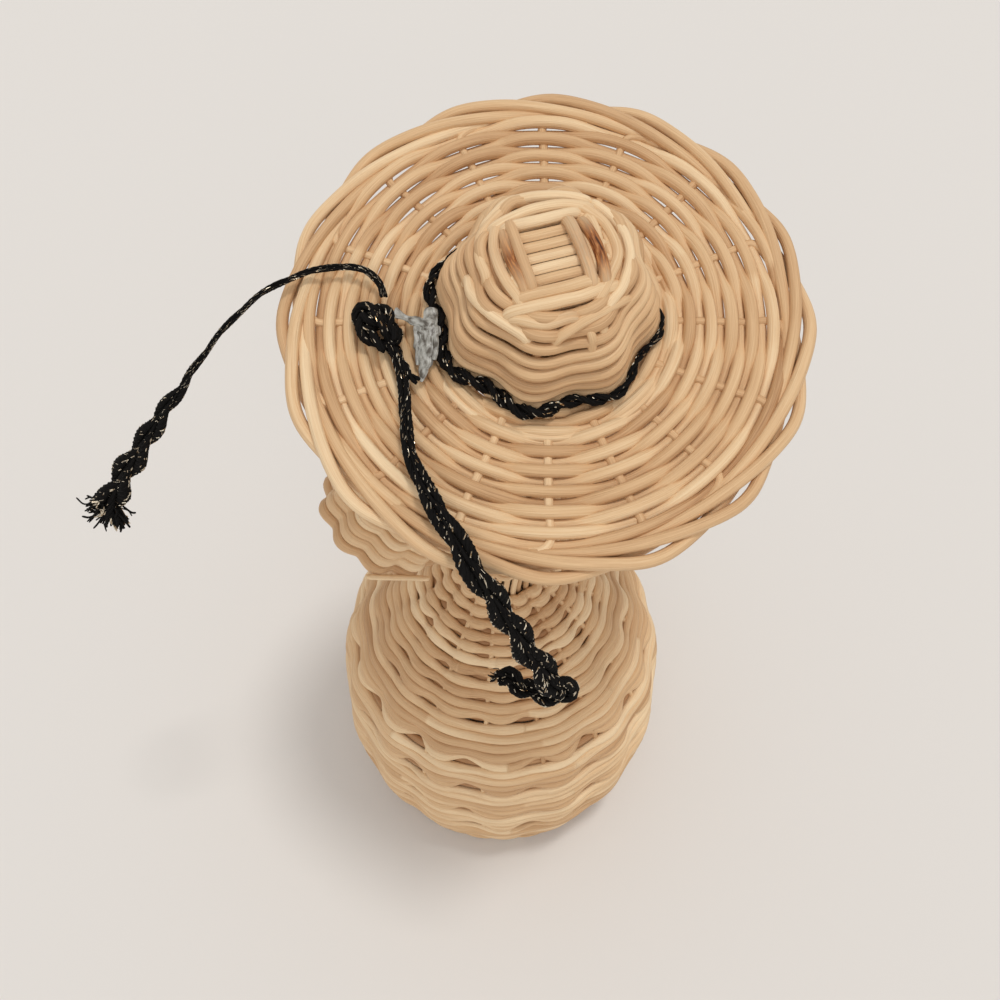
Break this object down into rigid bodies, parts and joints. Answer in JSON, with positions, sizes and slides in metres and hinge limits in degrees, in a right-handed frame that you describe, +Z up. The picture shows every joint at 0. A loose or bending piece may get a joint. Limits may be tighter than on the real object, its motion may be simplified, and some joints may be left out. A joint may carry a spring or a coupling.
{
  "type": "wicker lady figure",
  "caption": "Hand-woven reed doll in a wide scalloped hat with a dark cord band and loose tails, bell sleeves and a hollow bell skirt.",
  "frame": {"origin": "on the floor under the middle of the figure's box, loose tails left out", "axes": "+Z up, front toward -Y, +X to the right as seen from the front"},
  "size_m": [0.1961, 0.1431, 0.3022],
  "materials": {
    "reed": "matte",
    "cord": "matte with gold flecks",
    "glue": "gloss"
  },
  "bodies": {
    "root": {"crown_spoke_01": "reed", "crown_spoke_02": "reed", "crown_spoke_03": "reed", "crown_spoke_04": "reed", "crown_spoke_05": "reed", "crown_spoke_06": "reed", "crown_spoke_07": "reed", "crown_spoke_08": "reed", "crown_start_wrap": "reed", "crown_weaver": "reed", "brim_stake_01": "reed", "brim_stake_02": "reed", "brim_stake_03": "reed", "brim_stake_04": "reed", "brim_stake_05": "reed", "brim_stake_06": "reed", "brim_stake_07": "reed", "brim_stake_08": "reed", "brim_stake_09": "reed", "brim_stake_10": "reed", "brim_stake_11": "reed", "brim_stake_12": "reed", "brim_stake_13": "reed", "brim_stake_14": "reed", "brim_stake_15": "reed", "brim_stake_16": "reed", "brim_weaver_a": "reed", "brim_weaver_b": "reed", "hem_border": "reed", "skirt_weave": "reed", "waist_stake_01": "reed", "waist_stake_02": "reed", "waist_stake_03": "reed", "waist_stake_04": "reed", "waist_stake_05": "reed", "waist_stake_06": "reed", "waist_stake_07": "reed", "waist_stake_08": "reed", "waist_stake_09": "reed", "waist_stake_10": "reed", "waist_stake_11": "reed", "waist_stake_12": "reed", "bodice_weave": "reed", "neck_binding": "reed", "head": "reed", "sleeve_left": "reed", "sleeve_right": "reed", "sleeve_edge_reed_left": "reed", "sleeve_edge_reed_right": "reed", "hat_band": "cord", "bow_loop": "cord", "tail_left_thin": "cord", "tail_left_twist": "cord", "tail_front_thin": "cord", "tail_front_twist": "cord", "tail_front_tip": "cord", "glue_lump": "glue"}
  },
  "joints": []
}
